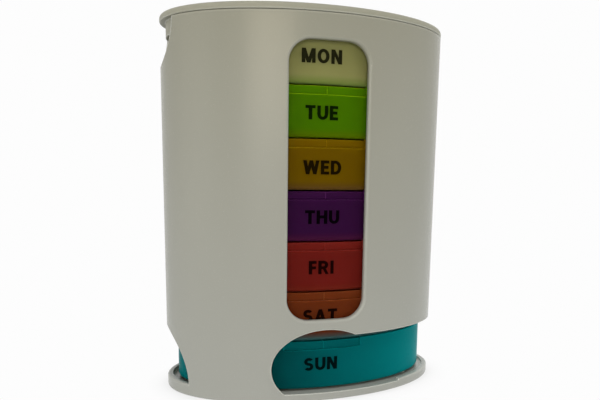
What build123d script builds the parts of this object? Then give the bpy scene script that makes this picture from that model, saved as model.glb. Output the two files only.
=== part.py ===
from build123d import *
import os

# Case: an oval sleeve that flares a little from the table to the rim
base_length = 122.3
base_depth = 70.0
case_draft = 0.9
case_height = 152.6
case_wall = 2.2
floor_top = 3.3
foot_round = 0.8
rim_round = 0.5
edge_round = 0.9
foot_width = 4.0
underside_recess = 1.0

# Window in the front wall
window_width = 32.4
window_sill = 6.9
window_top_margin = 9.9
window_corner = 8.7

# Thumb cut-outs in front and back, and the exit round the right end
thumb_width = 44.6
thumb_height = 32.0
thumb_rise = 2.8
exit_clearance = 2.3
exit_lip_start = 35.6

# Cut-outs in the left end: one to push the lowest tray, one to lift the cover
push_width = 30.9
push_height = 21.4
push_level = 5.0
notch_width = 25.2
notch_depth = 17.8

# Rails that carry the lowest tray just over the exit lip
rail_height = 0.8
rail_width = 4.0
rail_end_inset = 18.0
rail_side_inset = 18.5
exit_lip_gap = 0.1
exit_lip_round = 0.6

# Cover: a plate on the rim with a plug tab inside each end
cover_thickness = 2.8
cover_seam = 0.15
cover_top_round = 1.5
cover_edge_round = 0.4
tab_width = 28.0
tab_depth = 6.0
tab_thickness = 1.2
tab_gap = 0.3

# Day trays, stacked from the rails up to a little below the cover
stack_play = 5.6
stack_gap = 0.1
end_gap = 2.45
side_gap = 1.2
tray_wall = 2.2
tray_rim_wall = 1.2
tray_floor = 1.6
tray_bottom_round = 1.4
tray_top_round = 0.4
divider = 1.2
end_compartment = 35.0

# Flap lids
lid_thickness = 1.4
lid_drop = 0.5
lid_gap = 0.3
lid_side_gap = 0.1
lip_width = 33.1
end_lip_width = 14.0
lip_drop = 1.9
lip_gap = 0.1
lip_inset = 0.5
lip_thickness = 1.6

# Hinge line along the back of each tray
hinge_setback = 10.0
barrel_radius = 1.6
barrel_drop = 0.1
pin_radius = 1.0
pin_clearance = 0.06
pin_length = 1.5
pocket_gap = 0.6
ear_width = 3.0
ear_gap = 0.3
outer_barrel_pitch = 12.0
back_wall = 1.6
deck_thickness = 1.6

# Cutting tools run this far past the faces that they cut
overrun = 1.0

days = ("monday", "tuesday", "wednesday", "thursday", "friday", "saturday", "sunday")
times = ("morning", "noon", "evening", "night")

# The rim is wider than the base by the draft on each side
rim_length = base_length + 2 * case_draft
rim_depth = base_depth + 2 * case_draft

# The stack fills the case, and each tray fits its narrower end
tray_level = floor_top + rail_height
cover_level = case_height + cover_seam
stack_top = cover_level - stack_play
tray_pitch = (stack_top - tray_level) / len(days)
tray_height = tray_pitch - stack_gap
tray_length = min(base_length, rim_length) - 2 * case_wall - 2 * end_gap
tray_depth = min(base_depth, rim_depth) - 2 * case_wall - 2 * side_gap

# Openings of the case, set by the lowest tray and the rim
exit_top = tray_level + tray_pitch + exit_clearance
exit_lip_top = tray_level - exit_lip_gap
thumb_level = exit_top + thumb_rise - thumb_height / 2
window_bottom = exit_top + window_sill
window_top = case_height - window_top_margin
rail_length = base_length - 2 * rail_end_inset
rail_spacing = base_depth - 2 * rail_side_inset

# Heights and places in a tray
seat_height = tray_height - lid_thickness - lid_drop
lip_base = seat_height - lip_drop
hinge_height = seat_height + lid_thickness - barrel_drop - barrel_radius
hinge_y = tray_depth / 2 - hinge_setback
pocket_width = 2 * (barrel_radius + pocket_gap)
pocket_floor = hinge_height - pocket_width / 2
pocket_front = hinge_y - pocket_width / 2
divider_offset = tray_length / 2 - end_compartment
outer_ear = divider_offset + outer_barrel_pitch
stations = (-tray_length / 2, -divider_offset, 0, divider_offset, tray_length / 2)
ears = (-outer_ear, -divider_offset, 0, divider_offset, outer_ear)


def case_span(at_base, at_rim, height):
    return at_base + (at_rim - at_base) * height / case_height


def case_oval(height, inset):
    length = case_span(base_length, rim_length, height)
    depth = case_span(base_depth, rim_depth, height)
    Ellipse(length / 2 - inset, depth / 2 - inset)


def tray_oval(inset, mode=Mode.ADD):
    Ellipse(tray_length / 2 - inset, tray_depth / 2 - inset, mode=mode)


def kept_strip(x_from, x_to, y_from, y_to, mode=Mode.INTERSECT):
    with Locations(((x_from + x_to) / 2, (y_from + y_to) / 2)):
        Rectangle(x_to - x_from, y_to - y_from, mode=mode)


def tray_plane(level, height):
    return Plane.XY.offset(level + height)


def hinge_plane(level, x):
    origin = (x, hinge_y, level + hinge_height)
    return Plane(origin=origin, x_dir=(0, 1, 0), z_dir=(1, 0, 0))


def day_tray(level):
    with BuildPart() as tray:
        with BuildSketch(tray_plane(level, 0)):
            tray_oval(0)
        extrude(amount=tray_height)
        fillet(tray.edges().group_by(Axis.Z)[0], tray_bottom_round)
        fillet(tray.edges().group_by(Axis.Z)[-1], tray_top_round)

        # Seat that the lids lie on
        with BuildSketch(tray_plane(level, seat_height)):
            tray_oval(tray_rim_wall)
            kept_strip(-tray_length / 2, tray_length / 2, -tray_depth / 2, pocket_front)
        extrude(amount=tray_height - seat_height + overrun, mode=Mode.SUBTRACT)

        # Compartments
        for left, right in zip(stations, stations[1:]):
            with BuildSketch(tray_plane(level, tray_floor)):
                tray_oval(tray_wall)
                kept_strip(
                    left + divider / 2,
                    right - divider / 2,
                    -tray_depth / 2,
                    pocket_front - back_wall,
                )
            extrude(amount=tray_height, mode=Mode.SUBTRACT)

        # Pockets for the hinge barrels, with the ears left standing between them
        for left, right in zip(ears, ears[1:]):
            with BuildSketch(tray_plane(level, pocket_floor)):
                kept_strip(
                    left + ear_width / 2,
                    right - ear_width / 2,
                    pocket_front,
                    pocket_front + pocket_width,
                    mode=Mode.ADD,
                )
            extrude(amount=tray_height - pocket_floor + overrun, mode=Mode.SUBTRACT)

        # Bore for the stub pins
        bore_start = -outer_ear - ear_width / 2
        with BuildSketch(hinge_plane(level, bore_start)):
            Circle(pin_radius + pin_clearance)
        extrude(amount=-2 * bore_start, mode=Mode.SUBTRACT)

        # Hollow under the hinge deck
        with BuildSketch(tray_plane(level, -overrun)):
            tray_oval(back_wall)
            kept_strip(-tray_length / 2, tray_length / 2, pocket_front, tray_depth / 2)
        extrude(amount=pocket_floor - deck_thickness + overrun, mode=Mode.SUBTRACT)

        # Gaps in the rim for the closing lips
        with BuildSketch(tray_plane(level, lip_base)):
            tray_oval(-overrun)
            kept_strip(-lip_width / 2, lip_width / 2, -tray_depth, 0)
            tray_oval(tray_wall, mode=Mode.SUBTRACT)
        extrude(amount=tray_height, mode=Mode.SUBTRACT)
        with BuildSketch(tray_plane(level, lip_base)):
            tray_oval(-overrun)
            kept_strip(-tray_length, tray_length, -end_lip_width / 2, end_lip_width / 2)
            tray_oval(tray_wall, mode=Mode.SUBTRACT)
        extrude(amount=tray_height, mode=Mode.SUBTRACT)
    return tray.part


def flap_lid(level, place):
    left, right = stations[place], stations[place + 1]
    barrel_from = ears[place] + ear_width / 2 + ear_gap
    barrel_to = ears[place + 1] - ear_width / 2 - ear_gap
    at_end = place in (0, len(times) - 1)
    lip_top = seat_height + lid_thickness
    lip_low = lip_base + lip_gap
    lid_rear = pocket_front - lid_gap
    with BuildPart() as lid:
        # Plate
        with BuildSketch(tray_plane(level, seat_height)):
            tray_oval(tray_rim_wall + lid_gap)
            kept_strip(
                left + lid_side_gap / 2,
                right - lid_side_gap / 2,
                -tray_depth / 2,
                lid_rear,
            )
        extrude(amount=lid_thickness)

        # Closing lip, at the front of the middle lids and at the end of the outer ones
        with BuildSketch(tray_plane(level, lip_low)):
            tray_oval(lip_inset)
            if at_end:
                reach = end_lip_width / 2 - lip_gap
                kept_strip(left, right, -reach, reach)
            else:
                lip_from = max(left + lid_side_gap / 2, -lip_width / 2 + lip_gap)
                lip_to = min(right - lid_side_gap / 2, lip_width / 2 - lip_gap)
                kept_strip(lip_from, lip_to, -tray_depth / 2, 0)
            tray_oval(lip_inset + lip_thickness, mode=Mode.SUBTRACT)
        extrude(amount=lip_top - lip_low)

        # Hinge barrel, its web and its stub pins
        with BuildSketch(tray_plane(level, seat_height)):
            kept_strip(barrel_from, barrel_to, lid_rear - overrun, hinge_y, mode=Mode.ADD)
        extrude(amount=lid_thickness)
        with BuildSketch(hinge_plane(level, barrel_from)):
            Circle(barrel_radius)
        extrude(amount=barrel_to - barrel_from)
        with BuildSketch(hinge_plane(level, barrel_from - pin_length)):
            Circle(pin_radius)
        extrude(amount=barrel_to - barrel_from + 2 * pin_length)
    return lid.part


def save(part, name):
    part.label = name
    export_step(part, f"parts/{name}.step")


os.makedirs("parts", exist_ok=True)

# Case body
with BuildPart() as case_body:
    with BuildSketch():
        case_oval(0, 0)
    with BuildSketch(Plane.XY.offset(case_height)):
        case_oval(case_height, 0)
    loft()
    fillet(case_body.edges().group_by(Axis.Z)[0], foot_round)
    with BuildSketch(Plane.XY.offset(floor_top)):
        case_oval(floor_top, case_wall)
    with BuildSketch(Plane.XY.offset(case_height + overrun)):
        case_oval(case_height + overrun, case_wall)
    loft(mode=Mode.SUBTRACT)

    # Recess in the underside, which leaves an oval foot
    with BuildSketch(Plane.XY.offset(-overrun)):
        case_oval(0, foot_width)
    extrude(amount=underside_recess + overrun, mode=Mode.SUBTRACT)

    # Window, front wall only
    with BuildSketch(Plane.XZ):
        with Locations((0, (window_bottom + window_top) / 2)):
            RectangleRounded(window_width, window_top - window_bottom, window_corner)
    extrude(amount=rim_depth, mode=Mode.SUBTRACT)

    # Thumb cut-outs and exit, through front and back
    with BuildSketch(Plane.XZ):
        with Locations((0, thumb_level)):
            Ellipse(thumb_width / 2, thumb_height / 2)
        kept_strip(-thumb_width, thumb_width, floor_top, case_height)
        kept_strip(0, exit_lip_start, floor_top, exit_top, mode=Mode.ADD)
        kept_strip(0, rim_length, exit_lip_top, exit_top, mode=Mode.ADD)
    extrude(amount=rim_depth, both=True, mode=Mode.SUBTRACT)

    # Push cut-out and finger notch in the left end
    with BuildSketch(Plane.YZ):
        with Locations((0, push_level)):
            Ellipse(push_width / 2, push_height)
        kept_strip(-push_width, push_width, push_level, case_height)
        with Locations((0, case_height)):
            Ellipse(notch_width / 2, notch_depth)
    extrude(amount=-rim_length, mode=Mode.SUBTRACT)

    # Soft edges on the exit lip, where the window and the push cut-out break the outer wall, and on its rim
    outer_wall = case_body.faces().sort_by(SortBy.AREA)[-1]
    lip_edges = outer_wall.edges().filter_by_position(Axis.Z, exit_lip_top - exit_lip_gap, tray_level)
    fillet(lip_edges, exit_lip_round)
    for outline in outer_wall.inner_wires():
        fillet(outline.edges(), edge_round)
    rim_edges = case_body.edges().group_by(Axis.Z)[-1]
    fillet(rim_edges.sort_by(SortBy.LENGTH)[-2:], rim_round)

    # Floor rails
    with BuildSketch(Plane.XY.offset(floor_top)):
        with GridLocations(0, rail_spacing, 1, 2):
            Rectangle(rail_length, rail_width)
    extrude(amount=rail_height)
save(case_body.part, "case_body")

# Cover
with BuildPart() as cover:
    with BuildSketch(Plane.XY.offset(cover_level)):
        case_oval(case_height, 0)
    extrude(amount=cover_thickness)
    fillet(cover.edges().group_by(Axis.Z)[-1], cover_top_round)
    fillet(cover.edges().group_by(Axis.Z)[0], cover_edge_round)
    with BuildSketch(Plane.XY.offset(cover_level)):
        case_oval(case_height, case_wall + tab_gap)
        Ellipse(
            rim_length / 2 - case_wall - tab_gap - tab_thickness,
            rim_depth / 2 - case_wall - tab_gap - tab_thickness,
            mode=Mode.SUBTRACT,
        )
        kept_strip(-rim_length, rim_length, -tab_width / 2, tab_width / 2)
    extrude(amount=-tab_depth)
save(cover.part, "cover")

# Day trays from the top one down, each with its four lids
for order, day in enumerate(days):
    level = tray_level + (len(days) - 1 - order) * tray_pitch
    save(day_tray(level), f"{day}_tray")
    for place, time in enumerate(times):
        save(flap_lid(level, place), f"{day}_{time}_lid")
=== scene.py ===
from math import cos, pi, radians, sin, sqrt

import bpy
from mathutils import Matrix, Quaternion, Vector
from mathutils.geometry import delaunay_2d_cdt


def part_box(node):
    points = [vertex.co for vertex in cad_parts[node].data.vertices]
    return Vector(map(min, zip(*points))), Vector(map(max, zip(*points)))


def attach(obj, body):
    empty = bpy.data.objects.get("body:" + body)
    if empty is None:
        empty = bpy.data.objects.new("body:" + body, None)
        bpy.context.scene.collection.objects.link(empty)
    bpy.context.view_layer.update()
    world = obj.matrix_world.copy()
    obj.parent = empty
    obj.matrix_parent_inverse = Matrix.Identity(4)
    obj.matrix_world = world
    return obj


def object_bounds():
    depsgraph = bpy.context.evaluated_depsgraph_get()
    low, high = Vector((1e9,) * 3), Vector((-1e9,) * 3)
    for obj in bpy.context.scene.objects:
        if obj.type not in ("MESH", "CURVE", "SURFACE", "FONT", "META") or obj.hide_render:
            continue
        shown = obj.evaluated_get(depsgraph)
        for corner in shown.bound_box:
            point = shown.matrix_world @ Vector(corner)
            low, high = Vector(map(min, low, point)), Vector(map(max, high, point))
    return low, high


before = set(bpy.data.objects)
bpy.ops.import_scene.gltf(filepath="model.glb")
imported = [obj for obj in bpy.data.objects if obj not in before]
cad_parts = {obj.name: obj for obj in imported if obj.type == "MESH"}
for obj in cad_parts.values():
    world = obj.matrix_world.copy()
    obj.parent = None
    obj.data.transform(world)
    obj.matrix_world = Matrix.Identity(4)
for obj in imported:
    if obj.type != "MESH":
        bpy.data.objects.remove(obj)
cad_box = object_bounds()
case_height = cad_box[1][2]

# Lengths are in metres, apart from the lens and its sensor in millimetres and the image in pixels
mm = 0.001

# Camera, from the photograph's perspective
image_width = 600
camera_place = Vector((-73.25, -254.51, 90.00)) * mm
camera_yaw = radians(15.719)
camera_pitch = radians(7.460)
camera_roll = radians(0.606)
sensor_width = 36.0
focal_length = 35.13
principal_drop = 56.0
nearest_view = 1 * mm

# Stage: a floor that shows as white and keeps the object's shadow, under a dim even sky
floor_radius = 4.0
floor_segments = 96
white_level = 0.982
floor_bounce = (0.80, 0.81, 0.83)
shadow_tone = (0.72, 0.72, 0.71)
shadow_reach = 10 * mm
shadow_samples = 16
ambient_level = 0.25
ambient_colour = (1.0, 0.995, 0.985)

# Lamps: name, place, width, height, power, colour and whether it shows in a gloss
lamp_aim = Vector((0, 0, 78 * mm))
lamps = (
    ("left_softbox", (-1.30, -0.40, 0.25), 0.9, 0.7, 6.5, (1.0, 1.0, 1.0), False),
    ("front_softbox", (-0.25, -0.97, 0.33), 0.44, 0.30, 1.3, (1.0, 0.86, 0.62), True),
    ("fill_softbox", (-0.30, -1.05, 0.20), 0.4, 0.4, 2.7, (1.0, 1.0, 1.0), False),
    ("right_softbox", (1.25, -0.50, 0.15), 0.9, 0.7, 5.9, (0.98, 1.0, 1.0), False),
    ("top_softbox", (-0.05, -0.50, 1.15), 0.6, 0.4, 5.4, (1.0, 1.0, 1.0), False),
    ("rear_softbox", (0.75, 0.80, 0.80), 0.8, 0.8, 9.0, (1.0, 1.0, 1.0), False),
)

# Painted edge highlights: share of the highlight colour for each unit by which the rounded normal leaves
# the face's own
edge_highlight_gain = 5.0
edge_samples = 4

# Case plastic: its colour at foot and rim, with painted light at the foot and painted shade at the rim,
# how far the colour drifts, its gloss, moulded grain, rounded edges and painted edge highlights
case_foot_painted_light = (0.336, 0.341, 0.308)
case_rim_painted_shade = (0.243, 0.237, 0.182)
case_shade = 1.0
case_drift = (0.97, 1.03)
case_drift_scale = 16.0
case_dullness = 0.22
case_dullness_drift = 0.08
case_gloss = 0.42
case_grain_scale = 2400.0
case_grain_detail = 3.0
case_grain_depth = 0.05 * mm
case_grain_strength = 0.35
case_edge_radius = 0.7 * mm
case_edge_highlight_tone = 2.5

# The cover is the same plastic, paler and duller
cover_shade = 1.10
cover_dullness = 0.46

# Trays, from the top one down: day, word on the label, its place across and up the tray, the plastic's
# colour, how much of the tray below is painted on the foot as if seen through it, and its tone as painted
# shade where the case shades it and as painted light in the open
trays = (
    ("monday", "MON", (-2.4 * mm, 10.5 * mm), (0.229, 0.227, 0.082), 0.55, (1.0, 1.0)),
    ("tuesday", "TUE", (-2.2 * mm, 9.6 * mm), (0.050, 0.139, 0.0003), 0.30, (1.0, 1.0)),
    ("wednesday", "WED", (-1.6 * mm, 8.9 * mm), (0.121, 0.067, 0.0003), 0.30, (1.0, 1.0)),
    ("thursday", "THU", (-1.4 * mm, 9.7 * mm), (0.0275, 0.0040, 0.0325), 0.20, (1.0, 1.0)),
    ("friday", "FRI", (-1.5 * mm, 9.8 * mm), (0.131, 0.0100, 0.0068), 0.20, (1.0, 1.0)),
    ("saturday", "SAT", (-1.6 * mm, 10.3 * mm), (0.120, 0.023, 0.0054), 0.85, (1.0, 1.0)),
    ("sunday", "SUN", (-1.1 * mm, 10.5 * mm), (0.0002, 0.092, 0.097), 0.0, (0.65, 2.1)),
)

# Each tray has a lid for each time of day, paler than the tray, which paints a highlight on the lid's band
times = ("morning", "noon", "evening", "night")
lid_highlight_tone = 1.15

# Tray plastic: its foot with the painted see-through colour and its part with painted shade, in shares of
# the tray, its drift, gloss, rounded edges and painted edge highlights, and its glow
foot_share = 0.20
shaded_share = 0.33
shade_slope = 1.5
tray_drift = (0.92, 1.06)
tray_drift_scale = 30.0
tray_dullness = 0.24
tray_dullness_drift = 0.10
tray_dullness_scale = 900.0
tray_gloss = 0.01
tray_edge_radius = 0.35 * mm
tray_edge_highlight_tone = 3.0
glow_share = 0.9
glow_reach = 6 * mm
glow_spread = (1.0, 1.0, 1.0)

# Label ink: its thickness, the shares of the tray's colour that it takes, and its finish
ink_lift = 0.02 * mm
ink_thickness = 0.06 * mm
ink_shares = (0.03, 0.08)
ink_grain_scale = 1400.0
ink_dullness = 0.45
ink_dullness_drift = 0.15
ink_gloss = 0.01

# Label letters: bold, in shares of the cap height
cap_height = 5.4 * mm
mid_height_share = 0.5
stem_share = 0.26
beam_share = 0.215
left_stem = (0.115, 0, 0.115, 1)
right_stem = (0.685, 0, 0.685, 1)
letter_gap_share = 0.15
bow_steps = 24
quad_corners = 4
join_reach_share = 0.0005
inside_only = 1

# Each letter: its width, its bars (x and y of the foot, then of the top), its beams (from, to, height)
# and its bows (middle, half width and height, first and last angle)
letter_shares = {
    "A": (0.90, ((0.12, 0, 0.45, 1), (0.78, 0, 0.45, 1)), ((0.22, 0.68, 0.28),), ()),
    "D": (0.80, (left_stem,), ((0, 0.36, 0.10), (0, 0.36, 0.90)), ((0.36, 0.50, 0.44, 0.50, -90, 90),)),
    "E": (0.62, (left_stem,), ((0, 0.62, 0.10), (0, 0.57, 0.51), (0, 0.62, 0.90)), ()),
    "F": (0.58, (left_stem,), ((0, 0.54, 0.49), (0, 0.58, 0.90)), ()),
    "H": (0.80, (left_stem, right_stem), ((0, 0.80, 0.52),), ()),
    "I": (0.23, (left_stem,), (), ()),
    "M": (0.98, (left_stem, (0.865, 0, 0.865, 1), (0.49, 0, 0.15, 1), (0.49, 0, 0.83, 1)), (), ()),
    "N": (0.80, (left_stem, right_stem, (0.66, 0, 0.14, 1)), (), ()),
    "O": (0.90, (), (), ((0.45, 0.50, 0.45, 0.50, 0, 360),)),
    "R": (0.80, (left_stem, (0.675, 0, 0.43, 0.45)), ((0, 0.42, 0.48), (0, 0.42, 0.90)),
          ((0.42, 0.69, 0.34, 0.31, -90, 90),)),
    "S": (0.72, (), (), ((0.36, 0.6975, 0.36, 0.3025, 30, 270), (0.36, 0.3025, 0.36, 0.3025, -150, 90))),
    "T": (0.74, ((0.37, 0, 0.37, 1),), ((0, 0.74, 0.90),), ()),
    "U": (0.80, ((0.115, 0.36, 0.115, 1), (0.685, 0.36, 0.685, 1)), (),
          ((0.40, 0.36, 0.40, 0.36, 180, 360),)),
    "W": (1.18, ((0.32, 0, 0.115, 1), (0.32, 0, 0.59, 1), (0.86, 0, 0.59, 1), (0.86, 0, 1.065, 1)), (), ()),
}

# Numbers of a colour Mix node's sockets
mix_share, mix_first, mix_second, mix_result = 0, 6, 7, 2


class Wire:
    """A value on its way through a finish's nodes, so that shader maths reads as sums and products."""

    def __init__(self, finish, socket):
        self.finish = finish
        self.socket = socket

    def __add__(self, other):
        return self.finish.maths("ADD", self, other)

    def __radd__(self, other):
        return self.finish.maths("ADD", other, self)

    def __sub__(self, other):
        return self.finish.maths("SUBTRACT", self, other)

    def __rsub__(self, other):
        return self.finish.maths("SUBTRACT", other, self)

    def __mul__(self, other):
        return self.finish.maths("MULTIPLY", self, other)

    def __rmul__(self, other):
        return self.finish.maths("MULTIPLY", other, self)


class Finish:
    """The nodes of one material, or of the world."""

    def __init__(self, owner):
        owner.use_nodes = True
        self.owner = owner
        self.tree = owner.node_tree
        self.tree.nodes.clear()

    def node(self, kind, settings=None, sockets=None, output=0):
        made = self.tree.nodes.new("ShaderNode" + kind)
        for name, value in (settings or {}).items():
            setattr(made, name, value)
        for key, value in (sockets or {}).items():
            if isinstance(value, Wire):
                self.tree.links.new(value.socket, made.inputs[key])
            elif isinstance(value, tuple) and made.inputs[key].type == "RGBA":
                made.inputs[key].default_value = (*value, 1)
            else:
                made.inputs[key].default_value = value
        return Wire(self, made.outputs[output]) if made.outputs else None

    def maths(self, operation, first, second):
        return self.node("Math", {"operation": operation}, {0: first, 1: second})

    def mixed(self, share, first, second):
        sockets = {mix_share: share, mix_first: first, mix_second: second}
        return self.node("Mix", {"data_type": "RGBA"}, sockets, output=mix_result)

    def noise(self, scale, detail=2.0):
        place = self.node("TexCoord", output="Object")
        return self.node("TexNoise", sockets={"Vector": place, "Scale": scale, "Detail": detail})

    def soft_edge(self, radius):
        """The surface's normal, rounded over its sharp edges."""
        return self.node("Bevel", {"samples": edge_samples}, {"Radius": radius})

    def painted_edge_highlight(self, soft_edge):
        """The share of a painted highlight: 0 on a flat face and up to 1 at an edge."""
        normals = {0: soft_edge, 1: self.node("NewGeometry", output="Normal")}
        facing = self.node("VectorMath", {"operation": "DOT_PRODUCT"}, normals, output="Value")
        return self.maths("MINIMUM", edge_highlight_gain * (1 - facing), 1.0)

    def plastic(self, sockets):
        self.node("OutputMaterial", sockets={"Surface": self.node("BsdfPrincipled", sockets=sockets)})
        return self.owner


def seen_directly(finish):
    """1 for the rays that show the surroundings: to the camera, in a gloss or through a clear wall."""
    rays = ("Is Camera Ray", "Is Glossy Ray", "Is Transmission Ray")
    camera, glossy, through = (finish.node("LightPath", output=ray) for ray in rays)
    return finish.maths("MINIMUM", camera + glossy + through, 1.0)


def tinted(colour, tone):
    return tuple(tone * part for part in colour)


def case_plastic(name, shade, dullness):
    """Grained plastic, a little darker and yellower towards the rim with painted shade, lighter at the foot
    with painted light, and with painted highlights on its edges.
    """
    finish = Finish(bpy.data.materials.new(name))
    # Painted shade and light: darker and yellower towards the rim, lighter towards the foot
    place = finish.node("TexCoord", output="Object")
    rise = finish.node("SeparateXYZ", sockets={"Vector": place}, output="Z")
    height = finish.node("MapRange", sockets={"Value": rise, "From Max": case_height})
    deep, bright = (
        finish.mixed(height, *(tinted(colour, shade * tone) for colour in (case_foot_painted_light, case_rim_painted_shade)))
        for tone in case_drift
    )
    body = finish.mixed(finish.noise(case_drift_scale), deep, bright)
    grain = finish.noise(case_grain_scale, case_grain_detail)
    soft_edge = finish.soft_edge(case_edge_radius)
    relief = finish.node("Bump", sockets={
        "Strength": case_grain_strength, "Distance": case_grain_depth, "Height": grain, "Normal": soft_edge,
    })
    return finish.plastic({
        # Painted highlight along the edges
        "Base Color": finish.mixed(finish.painted_edge_highlight(soft_edge), body, tinted(case_foot_painted_light, case_edge_highlight_tone)),
        "Roughness": dullness + case_dullness_drift * grain,
        "Normal": relief,
        "Specular IOR Level": case_gloss,
    })


def tray_plastic(name, colour, below, shown, shade_and_light_tones):
    """Tinted plastic, its foot painted with the colour of the tray below as if seen through it,
    with painted shade and light along it and painted highlights on its edges.
    """
    finish = Finish(bpy.data.materials.new(name))
    place = finish.node("TexCoord", output="Generated")
    along = finish.node("SeparateXYZ", sockets={"Vector": place}, output="X")
    # Painted shade and light: darkest a third of the way along, where the case shades the tray, lighter
    # towards both ends
    lit = finish.node("Math", {"operation": "ABSOLUTE"}, {0: (along - shaded_share) * shade_slope})
    deep, bright = (
        finish.mixed(lit, *(tinted(colour, drift * tone) for tone in shade_and_light_tones)) for drift in tray_drift
    )
    rise = finish.node("SeparateXYZ", sockets={"Vector": place}, output="Z")
    # Painted see-through: the foot takes the colour of the tray below
    foot = finish.node("MapRange", {"interpolation_type": "SMOOTHSTEP"}, {
        "Value": rise, "From Min": 0.0, "From Max": foot_share, "To Min": shown, "To Max": 0.0,
    })
    body = finish.mixed(foot, finish.mixed(finish.noise(tray_drift_scale), deep, bright), below)
    soft_edge = finish.soft_edge(tray_edge_radius)
    return finish.plastic({
        # Painted highlight along the edges
        "Base Color": finish.mixed(finish.painted_edge_highlight(soft_edge), body, tinted(colour, tray_edge_highlight_tone)),
        "Roughness": tray_dullness + tray_dullness_drift * finish.noise(tray_dullness_scale),
        "Normal": soft_edge,
        "Specular IOR Level": tray_gloss,
        "Subsurface Weight": glow_share,
        "Subsurface Radius": glow_spread,
        "Subsurface Scale": glow_reach,
    })


def label_ink(name, colour):
    """Black ink, thin enough to take a little of the tray's colour."""
    finish = Finish(bpy.data.materials.new(name))
    grain = finish.noise(ink_grain_scale)
    return finish.plastic({
        "Base Color": finish.mixed(grain, *(tinted(colour, share) for share in ink_shares)),
        "Roughness": ink_dullness + ink_dullness_drift * grain,
        "Specular IOR Level": ink_gloss,
    })


def floor_finish():
    finish = Finish(bpy.data.materials.new("pale_floor"))
    light = finish.node(
        "AmbientOcclusion", {"samples": shadow_samples}, {"Distance": shadow_reach}, output="AO"
    )
    shown = finish.mixed(light, shadow_tone, (white_level,) * 3)
    lit = finish.node("BsdfDiffuse", sockets={"Color": floor_bounce})
    white = finish.node("Emission", sockets={"Color": shown})
    surface = finish.node("MixShader", sockets={0: seen_directly(finish), 1: lit, 2: white})
    finish.node("OutputMaterial", sockets={"Surface": surface})
    return finish.owner


def studio():
    scene = bpy.context.scene
    scene.view_settings.view_transform = "Standard"
    world = bpy.data.worlds.new("studio")
    scene.world = world
    sky = Finish(world)
    ambient = sky.node("Background", sockets={"Color": ambient_colour, "Strength": ambient_level})
    white = sky.node("Background", sockets={"Color": (white_level,) * 3, "Strength": 1.0})
    surface = sky.node("MixShader", sockets={0: seen_directly(sky), 1: ambient, 2: white})
    sky.node("OutputWorld", sockets={"Surface": surface})

    for name, place, width, height, power, colour, in_gloss in lamps:
        lamp = bpy.data.lights.new(name, "AREA")
        lamp.shape = "RECTANGLE"
        lamp.size = width
        lamp.size_y = height
        lamp.energy = power
        lamp.color = colour
        stand = bpy.data.objects.new(name, lamp)
        stand.visible_glossy = in_gloss
        stand.location = place
        stand.rotation_euler = (lamp_aim - Vector(place)).to_track_quat("-Z", "Y").to_euler()
        scene.collection.objects.link(stand)

    bpy.ops.mesh.primitive_circle_add(vertices=floor_segments, radius=floor_radius, fill_type="NGON")
    floor = bpy.context.object
    floor.name = "floor"
    floor.data.materials.append(floor_finish())


def photo_camera():
    lens = bpy.data.cameras.new("photo_camera")
    lens.sensor_fit = "HORIZONTAL"
    lens.sensor_width = sensor_width
    lens.lens = focal_length
    lens.shift_y = principal_drop / image_width
    lens.clip_start = nearest_view
    camera = bpy.data.objects.new("photo_camera", lens)
    heading = Quaternion((0, 0, 1), -camera_yaw)
    tilt = Quaternion((1, 0, 0), pi / 2 - camera_pitch)
    roll = Quaternion((0, 0, 1), camera_roll)
    camera.rotation_mode = "QUATERNION"
    camera.rotation_quaternion = heading @ tilt @ roll
    camera.location = camera_place
    bpy.context.scene.collection.objects.link(camera)
    bpy.context.scene.camera = camera


def dress(node, material):
    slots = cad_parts[node].data.materials
    slots.clear()
    slots.append(material)


def arc(x, y, reach, rise, turns):
    return [(x + reach * cos(turn), y + rise * sin(turn)) for turn in turns]


def letter_quads(letter, start):
    """The strokes of a letter that begins at start, cut into four-sided pieces, and the letter's width."""
    width, bars, beams, bows = letter_shares[letter]
    half_stem = stem_share / 2
    half_beam = beam_share / 2
    quads = []
    for foot, low, top, high in bars:
        quads.append((
            (foot - half_stem, low), (foot + half_stem, low),
            (top + half_stem, high), (top - half_stem, high),
        ))
    for left, right, middle in beams:
        low, high = middle - half_beam, middle + half_beam
        quads.append(((left, low), (right, low), (right, high), (left, high)))
    for x, y, reach, rise, first, last in bows:
        turns = [radians(first + (last - first) * step / bow_steps) for step in range(bow_steps + 1)]
        outer = arc(x, y, reach, rise, turns)
        inner = arc(x, y, reach - stem_share, rise - beam_share, turns)
        quads += zip(inner, outer, outer[1:], inner[1:])
    return [[(start + x, y) for x, y in quad] for quad in quads], width


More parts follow.
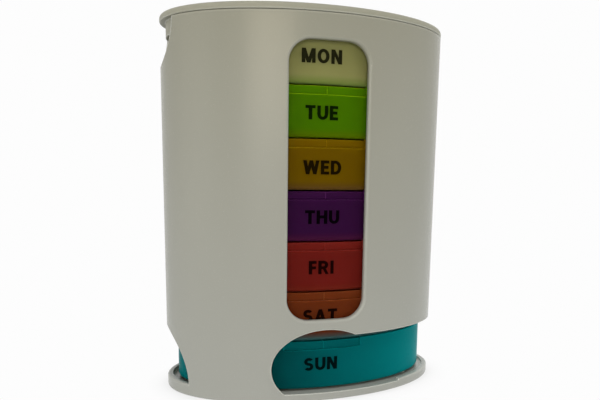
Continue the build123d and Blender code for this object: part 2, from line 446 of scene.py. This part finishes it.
def day_label(day, word, place, ink):
    """The day's word, printed on the front of its tray and bent to the tray's oval."""
    low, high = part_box(f"{day}_tray")
    centre = (low.x + high.x) / 2
    half_length = (high.x - low.x) / 2
    half_depth = (high.y - low.y) / 2
    across, up = place

    quads = []
    length = 0
    for letter in word:
        strokes, width = letter_quads(letter, length)
        quads += strokes
        length += width + letter_gap_share
    length -= letter_gap_share

    # The strokes overlap, so they are joined, and what lies in no stroke is left out
    flat = [Vector(point) for quad in quads for point in quad]
    outlines = [range(first, first + quad_corners) for first in range(0, len(flat), quad_corners)]
    points, _, pieces, _, _, owners = delaunay_2d_cdt(flat, [], outlines, inside_only, join_reach_share)
    shown = [piece for piece, strokes in zip(pieces, owners) if strokes]

    corners = []
    for proud in (ink_lift, ink_lift + ink_thickness):
        for x, y in points:
            x = across + (x - length / 2) * cap_height
            z = up + (y - mid_height_share) * cap_height
            wall = half_depth * sqrt(1 - (x / half_length) ** 2)
            corners.append((centre + x, -wall - proud, low.z + z))
    front = len(points)
    faces = [tuple(front + point for point in face) for face in shown]
    faces += [tuple(reversed(face)) for face in shown]
    edges = {(face[side - 1], face[side]) for face in shown for side in range(len(face))}
    for start, end in sorted(edges):
        if (end, start) not in edges:
            faces.append((start, end, front + end, front + start))
    mesh = bpy.data.meshes.new(f"{day}_label")
    mesh.from_pydata(corners, [], faces)
    mesh.materials.append(ink)
    label = bpy.data.objects.new(f"{day}_label", mesh)
    bpy.context.scene.collection.objects.link(label)
    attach(label, "sunday_drawer" if day == "sunday" else "tray_stack")


dress("case_body", case_plastic("case_plastic", case_shade, case_dullness))
dress("cover", case_plastic("cover_plastic", cover_shade, cover_dullness))
colours = [colour for _, _, _, colour, _, _ in trays]
for (day, word, place, colour, shown, shade_and_light_tones), below in zip(trays, colours[1:] + colours[-1:]):
    dress(f"{day}_tray", tray_plastic(f"{day}_plastic", colour, below, shown, shade_and_light_tones))
    # The lids' paler tone paints a highlight on their band
    lid_plastic = tray_plastic(f"{day}_lid_plastic", colour, below, shown=0.0, shade_and_light_tones=(lid_highlight_tone, lid_highlight_tone))
    for time in times:
        dress(f"{day}_{time}_lid", lid_plastic)
    day_label(day, word, place, label_ink(f"{day}_ink", colour))

studio()
photo_camera()
